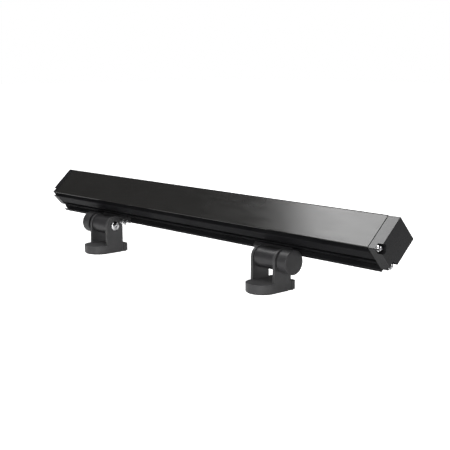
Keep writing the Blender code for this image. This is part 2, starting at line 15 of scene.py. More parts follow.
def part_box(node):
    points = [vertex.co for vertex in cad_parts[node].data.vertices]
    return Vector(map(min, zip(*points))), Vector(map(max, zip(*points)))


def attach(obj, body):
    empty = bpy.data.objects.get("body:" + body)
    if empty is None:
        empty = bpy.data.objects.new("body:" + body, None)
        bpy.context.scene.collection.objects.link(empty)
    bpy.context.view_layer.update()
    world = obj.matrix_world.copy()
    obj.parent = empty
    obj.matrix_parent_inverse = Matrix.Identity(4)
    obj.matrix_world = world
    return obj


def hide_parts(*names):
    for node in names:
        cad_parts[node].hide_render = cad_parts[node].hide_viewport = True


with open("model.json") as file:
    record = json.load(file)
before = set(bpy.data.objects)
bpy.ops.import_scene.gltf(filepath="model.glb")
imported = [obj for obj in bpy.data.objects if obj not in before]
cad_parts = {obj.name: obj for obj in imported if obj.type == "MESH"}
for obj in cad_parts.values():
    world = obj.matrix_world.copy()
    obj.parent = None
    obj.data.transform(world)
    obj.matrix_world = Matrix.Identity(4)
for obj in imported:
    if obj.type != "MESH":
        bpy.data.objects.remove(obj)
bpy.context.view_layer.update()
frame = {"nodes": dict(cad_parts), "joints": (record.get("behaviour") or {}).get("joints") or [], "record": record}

NODES = frame["nodes"]
JOINTS = {joint["name"]: joint for joint in frame["joints"]}
MM = 0.001
X, Y, Z = Vector((1, 0, 0)), Vector((0, 1, 0)), Vector((0, 0, 1))

# Bar section
TILT = math.radians(42)
U = Vector((0, -math.cos(TILT), -math.sin(TILT)))
V = Vector((0, math.sin(TILT), -math.cos(TILT)))
PIVOT_U, PIVOT_V = 101.5 * MM, 52.4 * MM
WINDOW_START, WINDOW_WIDTH, WINDOW_THICKNESS = 1.5 * MM, 73.4 * MM, 2.5 * MM
BODY_DEPTH, FIN_DEPTH, RAIL_REACH = 59 * MM, 64 * MM, 77 * MM
RIM = 1.2 * MM
CAVITY_U, CAVITY_BACK = (2.4 * MM, 60.6 * MM), 56.6 * MM
LEDGE_U, LEDGE_V = (8 * MM, 55 * MM), (3.9 * MM, 5.9 * MM)
WINDOW_LEDGE = 70.2 * MM
CHANNEL_TOP, CHANNEL_BOTTOM = (5.4 * MM, 9.8 * MM), (52.4 * MM, 57 * MM)
CHANNEL_FLOOR, CHANNEL_EDGE = 63 * MM, 70.6 * MM
UNDERCUT, UNDERCUT_FLOOR, UNDERCUT_LIP = 48.2 * MM, 64 * MM, 67.9 * MM
SLOT_MOUTH, SLOT_ROOM = (33 * MM, 43 * MM), (29 * MM, 47 * MM)
SLOT_FLOOR, SLOT_LIP, SLOT_SHOULDER = 63.2 * MM, 71.3 * MM, 73 * MM
LIGHTENING_U, LIGHTENING_V = (65.4 * MM, 72.4 * MM), (12.2 * MM, 26.6 * MM)
FRONT_LIP = [(76.2 * MM, CHANNEL_TOP[1]), (RAIL_REACH, 10.6 * MM), (RAIL_REACH, 12.6 * MM)]
RAIL_FACE = [(75.4 * MM, 14.4 * MM), (74.6 * MM, SLOT_MOUTH[0])]
FIN_AND_BACK = [(RAIL_REACH, CHANNEL_BOTTOM[1]), (RAIL_REACH, FIN_DEPTH), (69 * MM, FIN_DEPTH),
                (64 * MM, BODY_DEPTH), (1.5 * MM, BODY_DEPTH), (0, 57.5 * MM)]

# End caps
CAP_WIDTH, CAP_CHAMFER, CAP_STEP = 75.4 * MM, 1.2 * MM, 68 * MM
CAP_FACE = [(75.2 * MM, 14.4 * MM), (74.8 * MM, 40 * MM), (70.6 * MM, 52 * MM),
            (70 * MM, CHANNEL_BOTTOM[1])]
CAP_OVERLAP = 1.6 * MM
PLUG_SHOULDER = 6.6 * MM
SCREW_U = 67.5 * MM
END_SCREW_V = {"upper": 7.6 * MM, "lower": 54.7 * MM}
COUNTERBORES, COUNTERBORE_RADIUS = {"left": 8 * MM, "right": 10 * MM}, 9.2 * MM
END_HEAD, END_HEAD_RADIUS, END_SHANK_RADIUS = 6 * MM, 6.5 * MM, 1.8 * MM

# Sockets and vent in the lower rear wall
SOCKET_U = 34 * MM
HOLES = {"power_inlet": 12.3 * MM, "power_outlet": 12.3 * MM, "data_inlet": 12.3 * MM,
         "data_outlet": 12.3 * MM, "pressure_vent": 5.3 * MM}
PINS = {"power_inlet": 3, "power_outlet": 3, "data_inlet": 5, "data_outlet": 5}
GRIPS, GRIP_RADIUS = 24, 0.9 * MM
SOCKET_MOUTH, SOCKET_DEPTH, SOCKET_BACK = 2.8 * MM, 11 * MM, -16 * MM
BORE_RADIUS, SOCKET_RADIUS, FLANGE_RADIUS = 8.5 * MM, 12 * MM, 15 * MM
PIN_CIRCLE, PIN_RADIUS = 5 * MM, 0.8 * MM
VENT_RADIUS, VENT_STEM, VENT_BACK = 8 * MM, 5 * MM, -6 * MM

# Feet
PIVOT_HEIGHT = 61.9 * MM
BASE_TOP, PAD_THICKNESS = 19 * MM, 2 * MM
BASE_HALF_WIDTH, BASE_FRONT, BASE_REAR = 32.1 * MM, 22.5 * MM, 37.5 * MM
CHEEK_RADIUS, CHEEK_INSIDE = 22 * MM, 26.5 * MM
BARREL_RADIUS, BARREL_HALF = 20.5 * MM, 24.9 * MM
BOLT_RADIUS, BOLT_HEAD_RADIUS = 5 * MM, 10.5 * MM
KNOB_RADIUS, KNOB_LENGTH, KNOB_START = 23.6 * MM, 22.9 * MM, 38.1 * MM
KNOB_HUB_RADIUS, KNOB_HUB = 9.3 * MM, 0.2 * MM
KNOB_BORE_RADIUS, KNOB_BORE_START = 5.4 * MM, 10.5 * MM
KNOB_HOLLOW, KNOB_HOLLOW_RADII = 14 * MM, (12 * MM, 20.5 * MM)
BOLT_SEAT = -CHEEK_INSIDE - 4 * MM
BOLT_RECESS_RADIUS, BOLT_CLEARANCE = 12.3 * MM, 0.4 * MM
PLATE_REACH, BOSS_REACH = (36 * MM, -62 * MM), (-33.8 * MM, -62 * MM)
PLATE_TOP, PLATE_BOTTOM, PLATE_FACE = 49.6 * MM, 56.5 * MM, 77.6 * MM
RAIL_CLEARANCE = 0.35 * MM
WEB = [(76 * MM, 50.4 * MM), (86 * MM, 42 * MM), (PIVOT_U, 42 * MM), (PIVOT_U, 62 * MM),
       (90 * MM, 61 * MM), (76 * MM, 56 * MM)]
BOSS_DEPTH, BOSS_FACE = (50 * MM, 61 * MM), 80.6 * MM
CLAMP_SCREWS = (-39 * MM, -53 * MM)
CLAMP_SHANK_RADIUS, CLAMP_HEAD_RADIUS, CLAMP_HEAD = 1.95 * MM, 4.2 * MM, 8.4 * MM
GAP = 0.3 * MM
SHARP_ANGLE = 32
WELD, ON_AXIS = 1e-6, 1e-7

SIDES = ("left", "right")
PIVOTS = {side: Vector(JOINTS[f"tilt_{side}"]["pos_m"]) for side in SIDES}
TOP_EDGE = PIVOTS["left"] - PIVOT_U * U - PIVOT_V * V
TOP_EDGE.x = 0


def section_frame(x=0.0):
    """Columns u, v, then their cross product, with the origin on the window's top edge."""
    axes = Matrix((U, V, U.cross(V))).transposed().to_4x4()
    return Matrix.Translation(TOP_EDGE + x * X) @ axes


def on_section(x, u, v):
    return TOP_EDGE + x * X + u * U + v * V


def outward(side):
    return -1 if side == "left" else 1


def span(side, near, far):
    """Low and high X, from the foot's middle, of a stretch given towards the knob."""
    return sorted((near * outward(side), far * outward(side)))


def facing(direction, origin):
    return Matrix.Translation(origin) @ direction.to_track_quat("Z", "Y").to_matrix().to_4x4()


# Materials

MIX_FIRST, MIX_SECOND, MIX_RESULT = 6, 7, 2


class Nodes:
    """Short names for the shader nodes that the finishes share."""

    def __init__(self, name):
        self.material = bpy.data.materials.new(name)
        self.material.use_nodes = True
        self.tree = self.material.node_tree
        self.shader = self.tree.nodes["Principled BSDF"]
        self.place = self.add("ShaderNodeTexCoord").outputs["Object"]

    def add(self, kind, **values):
        node = self.tree.nodes.new(kind)
        for key, value in values.items():
            setattr(node, key, value)
        return node

    def link(self, source, target):
        self.tree.links.new(source, target)

    def stretch(self, scale):
        node = self.add("ShaderNodeMapping")
        node.inputs["Scale"].default_value = scale
        self.link(self.place, node.inputs["Vector"])
        return node.outputs["Vector"]

    def noise(self, scale, detail=4.0, roughness=0.55, vector=None):
        node = self.add("ShaderNodeTexNoise")
        node.inputs["Scale"].default_value = scale
        node.inputs["Detail"].default_value = detail
        node.inputs["Roughness"].default_value = roughness
        self.link(vector or self.place, node.inputs["Vector"])
        return node.outputs["Fac"]

    def grade(self, source, low, high, to_low, to_high):
        node = self.add("ShaderNodeMapRange")
        for key, value in zip(("From Min", "From Max", "To Min", "To Max"),
                              (low, high, to_low, to_high)):
            node.inputs[key].default_value = value
        self.link(source, node.inputs["Value"])
        return node.outputs["Result"]

    def mix(self, factor, first, second):
        node = self.add("ShaderNodeMix", data_type="RGBA")
        self.link(factor, node.inputs["Factor"])
        for socket, value in ((node.inputs[MIX_FIRST], first), (node.inputs[MIX_SECOND], second)):
            if isinstance(value, tuple):
                socket.default_value = (*value, 1)
            else:
                self.link(value, socket)
        return node.outputs[MIX_RESULT]

    def math(self, operation, first, second):
        node = self.add("ShaderNodeMath", operation=operation)
        for socket, value in zip(node.inputs, (first, second)):
            if isinstance(value, (int, float)):
                socket.default_value = value
            else:
                self.link(value, socket)
        return node.outputs[0]

    def edges(self, radius):
        """0 on flat faces and up to 1 on edges, for wear."""
        bevel = self.add("ShaderNodeBevel", samples=4)
        bevel.inputs["Radius"].default_value = radius
        geometry = self.add("ShaderNodeNewGeometry")
        dot = self.add("ShaderNodeVectorMath", operation="DOT_PRODUCT")
        self.link(bevel.outputs["Normal"], dot.inputs[0])
        self.link(geometry.outputs["Normal"], dot.inputs[1])
        return self.grade(dot.outputs["Value"], 0.995, 0.86, 0.0, 1.0)

    def bump(self, height, strength, distance):
        node = self.add("ShaderNodeBump")
        node.inputs["Strength"].default_value = strength
        node.inputs["Distance"].default_value = distance
        self.link(height, node.inputs["Height"])
        self.link(node.outputs["Normal"], self.shader.inputs["Normal"])

    def set(self, **values):
        for key, value in values.items():
            socket = self.shader.inputs[key.replace("_", " ")]
            socket.default_value = (*value, 1) if isinstance(value, tuple) else value


def finish_coat(name, dark, light, worn, rough, grain, depth):
    """Powder coat, moulding or rubber: mottled colour, fine grain, and edges rubbed lighter."""
    n = Nodes(name)
    cloud = n.noise(38, 3)
    fine = n.noise(grain, 5, 0.6)
    colour = n.mix(n.grade(cloud, 0.35, 0.65, 0.0, 1.0), dark, light)
    patchy = n.math("MULTIPLY", n.edges(0.7 * MM), n.grade(n.noise(160, 3), 0.4, 0.65, 0.15, 0.8))
    n.link(n.mix(patchy, colour, worn), n.shader.inputs["Base Color"])
    n.link(n.grade(fine, 0.3, 0.7, rough - 0.07, rough + 0.07), n.shader.inputs["Roughness"])
    n.bump(fine, depth, 0.15 * MM)
    return n.material


def finish_anodised(name, rough, specular):
    """Black anodising: drawing lines along X, a sheen and lighter rubbed edges."""
    n = Nodes(name)
    lines = n.noise(900, 4, 0.6, n.stretch((0.02, 1, 1)))
    cloud = n.noise(14, 3)
    colour = n.mix(n.grade(cloud, 0.3, 0.7, 0.0, 1.0), (0.010, 0.010, 0.011), (0.016, 0.016, 0.017))
    worn = n.math("MULTIPLY", n.edges(0.5 * MM), n.grade(n.noise(90, 3), 0.4, 0.65, 0.1, 0.6))
    n.link(n.mix(worn, colour, (0.09, 0.09, 0.092)), n.shader.inputs["Base Color"])
    n.link(n.grade(lines, 0.3, 0.7, rough - 0.05, rough + 0.05), n.shader.inputs["Roughness"])
    n.set(Specular_IOR_Level=specular)
    n.bump(lines, 0.12, 0.08 * MM)
    return n.material


def finish_window():
    """Smoked acrylic: deep gloss with very faint haze and wipe marks."""
    n = Nodes("smoked_window_finish")
    haze = n.noise(9, 3)
    wipes = n.noise(120, 4, 0.6, n.stretch((0.15, 1, 1)))
    n.link(n.mix(n.grade(haze, 0.3, 0.7, 0.0, 1.0), (0.0150, 0.0146, 0.0138),
                 (0.0190, 0.0185, 0.0176)), n.shader.inputs["Base Color"])
    n.link(n.grade(wipes, 0.3, 0.75, 0.17, 0.24), n.shader.inputs["Roughness"])
    n.set(Specular_IOR_Level=0.25)
    n.bump(haze, 0.02, 0.1 * MM)
    return n.material


def finish_metal(name, colour, tint, rough, spread, grain, depth):
    """Bare or plated metal with tool marks, a slight stain and polished edges."""
    n = Nodes(name)
    marks = n.noise(grain, 4, 0.6)
    stain = n.noise(60, 4)
    base = n.mix(n.grade(stain, 0.35, 0.7, 0.0, 1.0), colour, tint)
    n.link(n.mix(n.math("MULTIPLY", n.edges(0.3 * MM), 0.5), base, (0.9, 0.9, 0.9)),
           n.shader.inputs["Base Color"])
    n.link(n.grade(marks, 0.3, 0.7, rough, rough + spread), n.shader.inputs["Roughness"])
    n.set(Metallic=1.0)
    n.bump(marks, depth, 0.05 * MM)
    return n.material


def finish_board(name, mask, trace):
    """Circuit board: solder mask with faint tracks under it."""
    n = Nodes(name)
    brick = n.add("ShaderNodeTexBrick")
    n.link(n.place, brick.inputs["Vector"])
    brick.inputs["Scale"].default_value = 110
    brick.inputs["Mortar Size"].default_value = 0.03
    brick.inputs["Color1"].default_value = (*mask, 1)
    brick.inputs["Color2"].default_value = (*(0.85 * value for value in mask), 1)
    brick.inputs["Mortar"].default_value = (*trace, 1)
    n.link(brick.outputs["Color"], n.shader.inputs["Base Color"])
    n.link(n.grade(n.noise(300), 0.3, 0.7, 0.28, 0.42), n.shader.inputs["Roughness"])
    n.bump(brick.outputs["Fac"], 0.2, 0.05 * MM)
    return n.material


def finish_lens():
    n = Nodes("clear_lens_finish")
    n.link(n.grade(n.noise(70), 0.3, 0.7, 0.05, 0.14), n.shader.inputs["Roughness"])
    n.link(n.mix(n.noise(20), (0.86, 0.88, 0.9), (0.94, 0.95, 0.96)), n.shader.inputs["Base Color"])
    n.set(IOR=1.58, Transmission_Weight=1.0)
    return n.material


FINISHES = {
    "anodised_black": finish_anodised("anodised_black_finish", rough=0.38, specular=0.02),
    "smoked_window": finish_window(),
    "charcoal_cast": finish_coat("charcoal_cast_finish", dark=(0.043, 0.043, 0.044),
                                 light=(0.052, 0.051, 0.053), worn=(0.17, 0.17, 0.17),
                                 rough=0.42, grain=1500, depth=0.30),
    "charcoal_knob": finish_coat("charcoal_knob_finish", dark=(0.026, 0.026, 0.027),
                                 light=(0.031, 0.030, 0.032), worn=(0.10, 0.10, 0.10),
                                 rough=0.46, grain=2200, depth=0.18),
    "bright_steel": finish_metal("bright_steel_finish", colour=(0.82, 0.82, 0.83),
                                 tint=(0.74, 0.74, 0.76), rough=0.07, spread=0.08, grain=700,
                                 depth=0.05),
    "zinc_steel": finish_metal("zinc_steel_finish", colour=(0.50, 0.50, 0.52),
                               tint=(0.42, 0.43, 0.42), rough=0.28, spread=0.14, grain=420,
                               depth=0.15),
    "brass": finish_metal("brass_finish", colour=(0.72, 0.50, 0.20), tint=(0.58, 0.38, 0.14),
                          rough=0.2, spread=0.12, grain=500, depth=0.1),
    "black_rubber": finish_coat("black_rubber_finish", dark=(0.012, 0.012, 0.012),
                                light=(0.019, 0.019, 0.019), worn=(0.045, 0.045, 0.045),
                                rough=0.82, grain=900, depth=0.5),
    "circuit_board": finish_board("circuit_board_finish", mask=(0.012, 0.09, 0.035),
                                  trace=(0.03, 0.17, 0.07)),
    "led_board": finish_board("led_board_finish", mask=(0.74, 0.74, 0.72),
                              trace=(0.62, 0.62, 0.6)),
    "clear_lens": finish_lens(),
    "plain_aluminium": finish_metal("plain_aluminium_finish", colour=(0.62, 0.62, 0.63),
                                    tint=(0.54, 0.54, 0.55), rough=0.32, spread=0.12, grain=350,
                                    depth=0.12),
    "nylon": finish_coat("nylon_finish", dark=(0.016, 0.016, 0.016), light=(0.024, 0.024, 0.024),
                         worn=(0.06, 0.06, 0.06), rough=0.55, grain=1800, depth=0.2),
}
# Pieces whose finish differs from that of their slot's other pieces; on the clamp arms the difference is painted
# shade
CAP_FINISH = finish_anodised("anodised_cap_finish", rough=0.24, specular=0.24)
# Clamp arms: the charcoal cast made darker, painted shade for the shade that falls on the barrel under the bar
ARM_PAINTED_SHADE_FINISH = finish_coat("painted_shade_cast_finish", dark=(0.022, 0.022, 0.023),
                         light=(0.028, 0.027, 0.029), worn=(0.13, 0.13, 0.13), rough=0.38,
                         grain=1500, depth=0.3)
OWN_FINISHES = {"end_cap_left": CAP_FINISH, "end_cap_right": CAP_FINISH,
                "clamp_arm_left": ARM_PAINTED_SHADE_FINISH, "clamp_arm_right": ARM_PAINTED_SHADE_FINISH}
SLOTS = {part["node"]: part["material_slot"] for part in frame["record"]["subparts"]}
BODIES = {node: body for body, nodes in frame["record"]["behaviour"]["bodies"].items()
          for node in nodes}

for node_name, node_object in NODES.items():
    node_object.data.materials.clear()
    node_object.data.materials.append(FINISHES[SLOTS[node_name]])


# Shapes


def arc(centre, radius, start, end, steps):
    angles = [math.radians(start + (end - start) * i / steps) for i in range(steps + 1)]
    return [(centre[0] + radius * math.cos(a), centre[1] + radius * math.sin(a)) for a in angles]


def rectangle(across, along):
    (left, right), (low, high) = across, along
    return [(left, low), (right, low), (right, high), (left, high)]


def rounded(points, radius, steps=3):
    """The outline with every corner replaced by a small curve, as far as its sides allow."""
    out = []
    for i, point in enumerate(points):
        here = Vector(point)
        before, after = Vector(points[i - 1]) - here, Vector(points[(i + 1) % len(points)]) - here
        reach = min(radius, 0.42 * before.length, 0.42 * after.length)
        a, b = here + before.normalized() * reach, here + after.normalized() * reach
        for k in range(steps + 1):
            t = k / steps
            out.append(tuple((1 - t) ** 2 * a + 2 * t * (1 - t) * here + t * t * b))
    return out


def shade(mesh):
    mesh.shade_smooth()
    mesh.set_sharp_from_angle(angle=math.radians(SHARP_ANGLE))


def bevel(obj, width, segments=3, angle=SHARP_ANGLE):
    modifier = obj.modifiers.new("round", "BEVEL")
    modifier.width = width
    modifier.segments = segments
    modifier.limit_method = "ANGLE"
    modifier.angle_limit = math.radians(angle)
    modifier.harden_normals = True
    return obj


def link(name, mesh, matrix):
    obj = bpy.data.objects.new(name, mesh)
    bpy.context.scene.collection.objects.link(obj)
    mesh.transform(matrix)
    return obj


def prism(name, loops, low, high, matrix):
    curve = bpy.data.curves.new(name, "CURVE")
    curve.dimensions = "2D"
    curve.fill_mode = "BOTH"
    curve.extrude = (high - low) / 2
    for loop in loops:
        spline = curve.splines.new("POLY")
        spline.points.add(len(loop) - 1)
        for point, (a, b) in zip(spline.points, loop):
            point.co = (a, b, 0, 1)
        spline.use_cyclic_u = True
    drawn = bpy.data.objects.new(name, curve)
    bpy.context.scene.collection.objects.link(drawn)
    mesh = bpy.data.meshes.new_from_object(
        drawn.evaluated_get(bpy.context.evaluated_depsgraph_get()))
    bpy.data.objects.remove(drawn)
    shape = bmesh.new()
    shape.from_mesh(mesh)
    bmesh.ops.translate(shape, verts=shape.verts, vec=(0, 0, (low + high) / 2))
    bmesh.ops.remove_doubles(shape, verts=shape.verts, dist=WELD)
    bmesh.ops.recalc_face_normals(shape, faces=shape.faces)
    shape.to_mesh(mesh)
    shape.free()
    mesh.materials.clear()
    shade(mesh)
    return link(name, mesh, matrix)


def turned(name, profile, matrix, steps=72):
    """A closed turned solid from (radius, height) points, the first and last on the axis."""
    shape = bmesh.new()
    rows = []
    for radius, height in profile:
        if radius < ON_AXIS:
            rows.append([shape.verts.new((0, 0, height))])
        else:
            rows.append([shape.verts.new((radius * math.cos(math.tau * i / steps),
                                          radius * math.sin(math.tau * i / steps), height))
                         for i in range(steps)])
    for upper, lower in zip(rows, rows[1:]):
        for i in range(steps):
            j = (i + 1) % steps
            corners = [upper[i % len(upper)], upper[j % len(upper)],
                       lower[j % len(lower)], lower[i % len(lower)]]
            shape.faces.new(list(dict.fromkeys(corners)))
    bmesh.ops.recalc_face_normals(shape, faces=shape.faces)
    mesh = bpy.data.meshes.new(name)
    shape.to_mesh(mesh)
    shape.free()
    shade(mesh)
    return link(name, mesh, matrix)


def cylinder(name, radius, high, low, axis, steps=72):
    return turned(name, [(0, high), (radius, high), (radius, low), (0, low)], axis, steps)


def cut(target, operation, tools):
    """Joins the tools to the target or takes them away, and bakes the result."""
    for tool in tools:
        boolean = target.modifiers.new(tool.name, "BOOLEAN")
        boolean.operation = operation
        boolean.solver = "EXACT"
        boolean.object = tool
    bake(target)
    for tool in tools:
        bpy.data.objects.remove(tool)


def bake(obj):
    """Applies the modifiers, so that the mesh is the finished one."""
    mesh = bpy.data.meshes.new_from_object(
        obj.evaluated_get(bpy.context.evaluated_depsgraph_get()))
    obj.modifiers.clear()
    obj.data = mesh
    shade(mesh)
    return obj


def stand_in(obj, node):
    """The piece takes a CAD node's place: its body, its slot and its finish."""
    obj.data.materials.clear()
    obj.data.materials.append(OWN_FINISHES.get(node, FINISHES[SLOTS[node]]))
    for polygon in obj.data.polygons:
        polygon.material_index = 0
    flat = obj.modifiers.new("flat_faces_stay_flat", "WEIGHTED_NORMAL")
    flat.keep_sharp = True
    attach(obj, BODIES[node])
    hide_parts(node)


def dome(radius, base, rise, steps=10):
    return [(radius * math.sin(math.radians(90 * i / steps)),
             base + rise * math.cos(math.radians(90 * i / steps))) for i in range(steps + 1)]


def hex_tool(name, across, low, high, matrix):
    return prism(name, [arc((0, 0), across / math.sqrt(3), 0, 300, 5)], low, high, matrix)


# Bar


def window():
    low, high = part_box("front_window")
    outline = rounded(rectangle((WINDOW_START, WINDOW_WIDTH), (0, WINDOW_THICKNESS)), 0.5 * MM)
    stand_in(prism("window_pane", [outline], low.x, high.x, section_frame()), "front_window")


def housing_outline():
    """The extrusion's section, from the top edge round the inside and back along the outside."""
    (cavity_top, cavity_bottom), (ledge_top, ledge_bottom) = CAVITY_U, LEDGE_U
    ledge_front, ledge_back = LEDGE_V
    inside = [(0, 0), (RIM, 0), (RIM, ledge_front), (ledge_top, ledge_front),
              (ledge_top, ledge_back), (cavity_top, ledge_back), (cavity_top, CAVITY_BACK),
              (cavity_bottom, CAVITY_BACK), (cavity_bottom, ledge_back),
              (ledge_bottom, ledge_back), (ledge_bottom, ledge_front)]
    upper_channel = [(WINDOW_LEDGE, ledge_front), (WINDOW_LEDGE, CHANNEL_TOP[0]),
                     (CHANNEL_FLOOR, CHANNEL_TOP[0]), (CHANNEL_FLOOR, CHANNEL_TOP[1])]
    t_slot = [(SLOT_LIP, SLOT_MOUTH[0]), (SLOT_LIP, SLOT_ROOM[0]), (SLOT_FLOOR, SLOT_ROOM[0]),
              (SLOT_FLOOR, SLOT_ROOM[1]), (SLOT_LIP, SLOT_ROOM[1]), (SLOT_LIP, SLOT_MOUTH[1]),
              (SLOT_SHOULDER, SLOT_MOUTH[1])]
    lower_channel = [(CHANNEL_EDGE, CHANNEL_BOTTOM[0]), (UNDERCUT_LIP, CHANNEL_BOTTOM[0]),
                     (UNDERCUT_LIP, UNDERCUT), (UNDERCUT_FLOOR, UNDERCUT),
                     (UNDERCUT_FLOOR, CHANNEL_BOTTOM[1])]
    return inside + upper_channel + FRONT_LIP + RAIL_FACE + t_slot + lower_channel + FIN_AND_BACK


def chassis_axis(node):
    """The axis of a part in the lower rear wall, which faces along v."""
    low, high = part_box(node)
    return facing(V, on_section((low.x + high.x) / 2, SOCKET_U, BODY_DEPTH))


def housing():
    low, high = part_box("housing_extrusion")
    lightening = rounded(rectangle(LIGHTENING_U, LIGHTENING_V), MM)
    body = prism("bar_extrusion", [rounded(housing_outline(), 0.35 * MM, 2), lightening],
                 low.x, high.x, section_frame())
    cut(body, "DIFFERENCE", [cylinder(f"hole_{node}", radius, 5 * MM, -5 * MM, chassis_axis(node))
                             for node, radius in HOLES.items()])
    stand_in(body, "housing_extrusion")


def plug_outline():
    """The cavity's section, smaller by the gap everywhere but at the ledges' front."""
    top, bottom, back = CAVITY_U[0] + GAP, CAVITY_U[1] - GAP, CAVITY_BACK - GAP
    ledge_top, ledge_bottom = LEDGE_U[0] + GAP, LEDGE_U[1] - GAP
    ledge_front, ledge_back = LEDGE_V[0], LEDGE_V[1] + GAP
    return [(top, PLUG_SHOULDER), (ledge_top, ledge_back), (ledge_top, ledge_front),
            (ledge_bottom, ledge_front), (ledge_bottom, ledge_back), (bottom, PLUG_SHOULDER),
            (bottom, back), (top, back)]


def cap_outline(side):
    if side == "right":
        cut_off = CAP_CHAMFER
        return [(0, cut_off), (cut_off, 0), (CAP_WIDTH - cut_off, 0), (CAP_WIDTH, cut_off),
                (CAP_WIDTH, BODY_DEPTH - cut_off), (CAP_WIDTH - cut_off, BODY_DEPTH),
                (cut_off, BODY_DEPTH), (0, BODY_DEPTH - cut_off)]
    front = [(0, 0), (WINDOW_WIDTH, 0), (WINDOW_WIDTH, WINDOW_THICKNESS), (CAP_STEP, 5 * MM),
             (CAP_STEP, CHANNEL_TOP[1])]
    return front + FRONT_LIP + CAP_FACE + FIN_AND_BACK


def end_cap(side):
    """Cast cap with a plug in the housing's end and two recesses for its screws."""
    way = outward(side)
    low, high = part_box(f"end_cap_{side}")
    housing_low, housing_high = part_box("housing_extrusion")
    rail_end = housing_low.x if way < 0 else housing_high.x
    outer, inner = low.x if way < 0 else high.x, rail_end + way * CAP_OVERLAP
    cap = prism(f"cap_{side}", [cap_outline(side)], min(inner, outer), max(inner, outer),
                section_frame())
    plug_end = high.x if way < 0 else low.x
    plug = prism("plug", [plug_outline()], min(plug_end, inner + way * MM),
                 max(plug_end, inner + way * MM), section_frame())
    cut(cap, "UNION", [plug])
    tools = []
    for v in END_SCREW_V.values():
        depth = COUNTERBORES[side]
        axis = facing(X * way, on_section(outer - way * depth, SCREW_U, v))
        tools.append(cylinder("counterbore", COUNTERBORE_RADIUS, 2 * depth, 0, axis, 64))
        tools.append(cylinder("way", END_SHANK_RADIUS + 0.4 * MM, MM, -40 * MM, axis, 24))
    cut(cap, "DIFFERENCE", tools)
    bake(bevel(cap, 0.3 * MM, 2, 40))
    stand_in(cap, f"end_cap_{side}")


def socket(node):
    """Round chassis socket: scalloped flange, stepped mouth, a locating rib and brass contacts."""
    axis = chassis_axis(node)
    mouth, floor_at = SOCKET_MOUTH, SOCKET_MOUTH - SOCKET_DEPTH
    edge = mouth - 0.4 * MM
    profile = [(0, floor_at), (BORE_RADIUS, floor_at), (BORE_RADIUS, mouth - 0.6 * MM),
               (9.1 * MM, mouth), (10.6 * MM, mouth), (10.9 * MM, edge), (11.8 * MM, edge),
               (12.1 * MM, mouth), (14 * MM, mouth), (14.7 * MM, mouth - 0.3 * MM),
               (FLANGE_RADIUS, mouth - MM), (FLANGE_RADIUS, GAP), (SOCKET_RADIUS, GAP),
               (SOCKET_RADIUS, SOCKET_BACK), (0, SOCKET_BACK)]
    body = turned(f"socket_{node}", profile, axis, 96)
    tools = []
    for i in range(GRIPS):
        turn = (Matrix.Rotation(math.tau * i / GRIPS, 4, "Z")
                @ Matrix.Translation((FLANGE_RADIUS + 0.6 * MM, 0, 0)))
        tools.append(cylinder("grip", GRIP_RADIUS, 4 * MM, 0.9 * MM, axis @ turn, 12))
    cut(body, "DIFFERENCE", tools)
    rib = prism("rib", [rectangle((-1.2 * MM, 1.2 * MM), (7.4 * MM, 9 * MM))],
                floor_at - 0.5 * MM, mouth - 2.5 * MM, axis)
    cut(body, "UNION", [rib])
    stand_in(body, node)
    pin_end = floor_at + 0.05 * MM
    for i in range(PINS[node]):
        turn = (Matrix.Rotation(math.tau * i / PINS[node], 4, "Z")
                @ Matrix.Translation((PIN_CIRCLE, 0, 0)))
        pin = turned(f"contact_{node}_{i + 1}", [
            (0, mouth - 6.5 * MM), (0.5 * MM, mouth - 6.6 * MM), (PIN_RADIUS, mouth - 7.2 * MM),
            (PIN_RADIUS, pin_end), (0, pin_end)], axis @ turn, 20)
        pin.data.materials.append(FINISHES["brass"])
        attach(pin, "bar")


def vent():
    profile = dome(5.2 * MM, 1.9 * MM, 0.5 * MM, 5)
    profile += [(5.7 * MM, 1.9 * MM), (6.2 * MM, 1.9 * MM), (7.6 * MM, 1.4 * MM),
                (VENT_RADIUS, MM), (VENT_RADIUS, GAP), (VENT_STEM, GAP), (VENT_STEM, VENT_BACK),
                (0, VENT_BACK)]
    stand_in(turned("breather", profile, chassis_axis("pressure_vent"), 64), "pressure_vent")


# Feet


def knob(side):
    way = outward(side)
    axle = facing(X * way, PIVOTS[side] + X * way * KNOB_START)
    radius, length, edge = KNOB_RADIUS, KNOB_LENGTH, 1.3 * MM
    hollow_inside, hollow_outside = KNOB_HOLLOW_RADII
    profile = [(0, length - 0.25 * MM), (radius - 4 * MM, length - 0.25 * MM),
               (radius - 3.4 * MM, length)]
    profile += [(radius - edge + edge * math.sin(math.radians(a)),
                 length - edge + edge * math.cos(math.radians(a))) for a in range(0, 91, 15)]
    profile += [(radius, 1.6 * MM), (radius - 0.4 * MM, 0.5 * MM), (radius - 1.2 * MM, 0),
                (hollow_outside, 0), (hollow_outside, KNOB_HOLLOW), (hollow_inside, KNOB_HOLLOW),
                (hollow_inside, KNOB_HUB), (KNOB_HUB_RADIUS, KNOB_HUB),
                (KNOB_HUB_RADIUS, KNOB_BORE_START), (KNOB_BORE_RADIUS, KNOB_BORE_START),
                (KNOB_BORE_RADIUS, KNOB_HOLLOW), (0, KNOB_HOLLOW)]
    stand_in(turned(f"clamp_knob_{side}", profile, axle, 96), f"knob_{side}")


